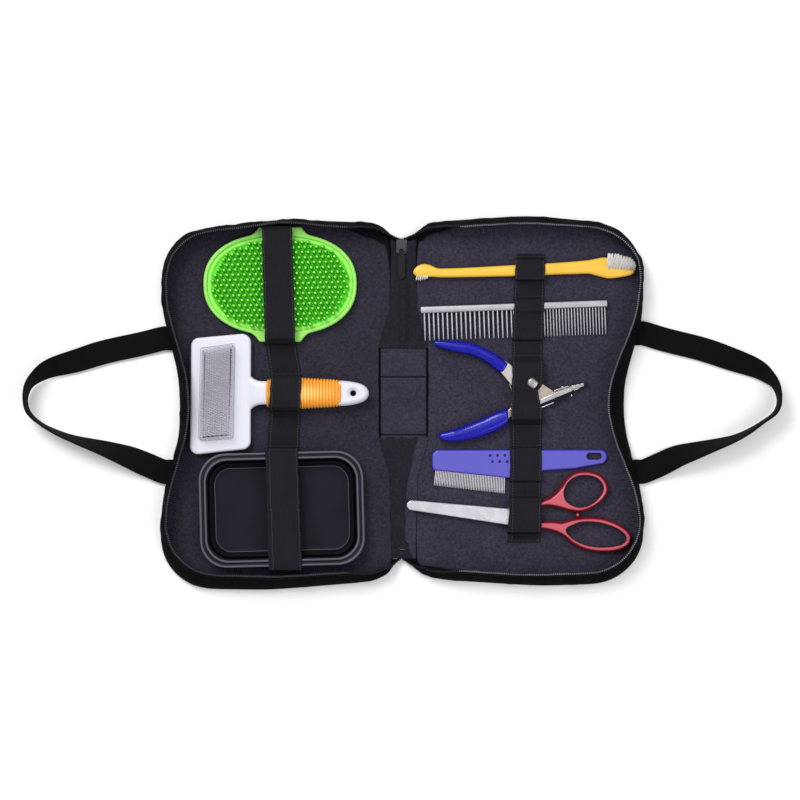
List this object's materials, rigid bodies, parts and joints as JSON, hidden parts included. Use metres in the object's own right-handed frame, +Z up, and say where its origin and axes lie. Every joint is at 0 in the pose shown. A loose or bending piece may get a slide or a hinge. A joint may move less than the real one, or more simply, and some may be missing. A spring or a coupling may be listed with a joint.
{
  "type": "pet grooming kit",
  "caption": "Bone-shaped zipped case, open flat, with brushes, combs, clippers, scissors and a folding bowl under elastic straps",
  "frame": {"origin": "on the table under the middle of the open kit, at the middle of the spine's width", "axes": "+X towards the right leaf, +Y towards the rubber brush and toothbrush edge, +Z up out of the open case"},
  "size_m": [0.758, 0.3742, 0.0268],
  "materials": {
    "outer_nylon": "woven black nylon",
    "binding_tape": "grosgrain edge tape",
    "lining_cloth": "charcoal woven polyester",
    "spine_cloth": "grey woven polyester",
    "zip_tape": "zipper tape",
    "zip_coil": "nylon coil",
    "zip_metal": "black enamel",
    "webbing": "woven nylon webbing",
    "elastic": "ribbed elastic",
    "green_rubber": "bright green rubber",
    "white_plastic": "moulded, semi-gloss",
    "pad_rubber": "cushion pad",
    "pin_steel": "bright wire",
    "orange_rubber": "soft ribbed grip",
    "black_silicone": "satin silicone",
    "yellow_plastic": "moulded, glossy",
    "bristle_nylon": "nylon filament",
    "comb_steel": "polished",
    "tool_steel": "plated",
    "blue_vinyl": "dipped, glossy",
    "violet_plastic": "moulded, satin",
    "blade_steel": "satin ground",
    "red_plastic": "moulded, glossy"
  },
  "bodies": {
    "left_leaf": {"left_base_panel": "outer_nylon", "left_binding": "binding_tape", "left_lining": "lining_cloth", "left_side_wall": "outer_nylon", "left_zip_tape": "zip_tape", "left_zip_coil": "zip_coil", "left_handle_tabs": "webbing", "left_strap": "elastic"},
    "spine": {"spine_panel": "outer_nylon", "spine_lining": "spine_cloth", "upper_gusset": "lining_cloth", "lower_gusset": "lining_cloth", "zip_slider": "zip_metal", "zip_end_stop": "zip_coil"},
    "right_leaf": {"right_base_panel": "outer_nylon", "right_binding": "binding_tape", "right_lining": "lining_cloth", "right_side_wall": "outer_nylon", "right_zip_tape": "zip_tape", "right_zip_coil": "zip_coil", "right_handle_tabs": "webbing", "right_strap": "elastic"},
    "left_carry_handle": {"left_handle": "webbing"},
    "right_carry_handle": {"right_handle": "webbing"},
    "pull_tab": {"zip_pull_tab": "zip_metal"},
    "rubber_brush": {"rubber_brush_pad": "green_rubber", "rubber_brush_nubs": "green_rubber"},
    "slicker_brush": {"slicker_head": "white_plastic", "slicker_pad": "pad_rubber", "slicker_pins": "pin_steel", "slicker_grip": "orange_rubber"},
    "bowl": {"bowl_base": "black_silicone", "bowl_fold": "black_silicone"},
    "bowl_top": {"bowl_rim": "black_silicone"},
    "toothbrush": {"toothbrush_handle": "yellow_plastic", "toothbrush_large_bristles": "bristle_nylon", "toothbrush_small_bristles": "bristle_nylon"},
    "steel_comb": {"comb_spine": "comb_steel", "comb_wide_teeth": "comb_steel", "comb_fine_teeth": "comb_steel"},
    "nail_clippers": {"clipper_frame": "tool_steel", "clipper_lower_grip": "blue_vinyl", "clipper_pivot_pin": "tool_steel", "clipper_spring": "tool_steel", "clipper_blade_screw": "tool_steel"},
    "clipper_lever_arm": {"clipper_lever": "tool_steel", "clipper_upper_grip": "blue_vinyl"},
    "clipper_cutter": {"clipper_blade": "tool_steel"},
    "flea_comb": {"flea_comb_handle": "violet_plastic", "flea_comb_teeth": "comb_steel"},
    "scissors": {"scissors_lower_blade": "blade_steel", "scissors_upper_handle": "red_plastic", "scissors_screw": "blade_steel", "scissors_bumper": "red_plastic"},
    "scissors_half": {"scissors_upper_blade": "blade_steel", "scissors_lower_handle": "red_plastic"}
  },
  "joints": [
    {"name": "left_fold", "type": "hinge", "parent": "left_leaf", "child": "spine", "pos_m": [-0.023, 0.0115, 0.004], "axis": [0, -1, 0], "range_deg": [0, 90], "deforming": ["upper_gusset", "lower_gusset"]},
    {"name": "right_fold", "type": "hinge", "parent": "spine", "child": "right_leaf", "pos_m": [0.023, 0.0115, 0.004], "axis": [0, -1, 0], "range_deg": [0, 90], "deforming": ["upper_gusset", "lower_gusset"]},
    {"name": "left_handle_swing", "type": "hinge", "parent": "left_leaf", "child": "left_carry_handle", "pos_m": [-0.24, 0, 0.0015], "axis": [0, -1, 0], "range_deg": [-90, 0]},
    {"name": "right_handle_swing", "type": "hinge", "parent": "right_leaf", "child": "right_carry_handle", "pos_m": [0.24, 0, 0.0015], "axis": [0, 1, 0], "range_deg": [-90, 0]},
    {"name": "pull_tab_flip", "type": "hinge", "parent": "spine", "child": "pull_tab", "pos_m": [-0.002, 0.1535, 0.0062], "axis": [1, 0, 0], "range_deg": [-150, 0]},
    {"name": "rubber_brush_lift", "type": "slide", "parent": "left_leaf", "child": "rubber_brush", "axis": [0, 0, -1], "range_m": [-0.0125, 0], "deforming": ["left_strap"]},
    {"name": "slicker_brush_lift", "type": "slide", "parent": "left_leaf", "child": "slicker_brush", "axis": [-0.287, 0, -0.9579], "range_m": [-0.015, 0], "deforming": ["left_strap"]},
    {"name": "bowl_lift", "type": "slide", "parent": "left_leaf", "child": "bowl", "axis": [0, 0, -1], "range_m": [-0.015, 0], "deforming": ["left_strap"]},
    {"name": "toothbrush_lift", "type": "slide", "parent": "right_leaf", "child": "toothbrush", "axis": [0, 0, -1], "range_m": [-0.015, 0], "deforming": ["right_strap"]},
    {"name": "steel_comb_lift", "type": "slide", "parent": "right_leaf", "child": "steel_comb", "axis": [0, 0, -1], "range_m": [-0.015, 0], "deforming": ["right_strap"]},
    {"name": "nail_clippers_lift", "type": "slide", "parent": "right_leaf", "child": "nail_clippers", "axis": [0, 0, -1], "range_m": [-0.015, 0], "deforming": ["right_strap"]},
    {"name": "flea_comb_lift", "type": "slide", "parent": "right_leaf", "child": "flea_comb", "axis": [0, 0, -1], "range_m": [-0.015, 0], "deforming": ["right_strap"]},
    {"name": "scissors_lift", "type": "slide", "parent": "right_leaf", "child": "scissors", "axis": [0.3, 0, -0.9539], "range_m": [-0.015, 0], "deforming": ["right_strap"]},
    {"name": "bowl_expand", "type": "slide", "parent": "bowl", "child": "bowl_top", "axis": [0, 0, -1], "range_m": [-0.032, 0], "deforming": ["bowl_fold", "left_strap"]},
    {"name": "clipper_squeeze", "type": "hinge", "parent": "nail_clippers", "child": "clipper_lever_arm", "pos_m": [0.124, 0.004, 0.0099], "axis": [0, 0, -1], "range_deg": [-18, 0], "stiffness_Nm_per_rad": 0.3, "deforming": ["clipper_spring", "right_strap"]},
    {"name": "clipper_cut", "type": "slide", "parent": "nail_clippers", "child": "clipper_cutter", "axis": [-0.9836, -0.1805, 0], "range_m": [-0.004, 0], "deforming": ["right_strap"]},
    {"name": "scissors_open", "type": "hinge", "parent": "scissors", "child": "scissors_half", "pos_m": [0.1085, -0.112, 0.0083], "axis": [0, 0, -1], "range_deg": [0, 10], "deforming": ["right_strap"]}
  ],
  "couplings": [
    {"joint": "left_fold", "follows": "right_fold", "ratio": 1},
    {"joint": "clipper_cut", "follows": "clipper_squeeze", "m_per_rad": 0.012731}
  ]
}
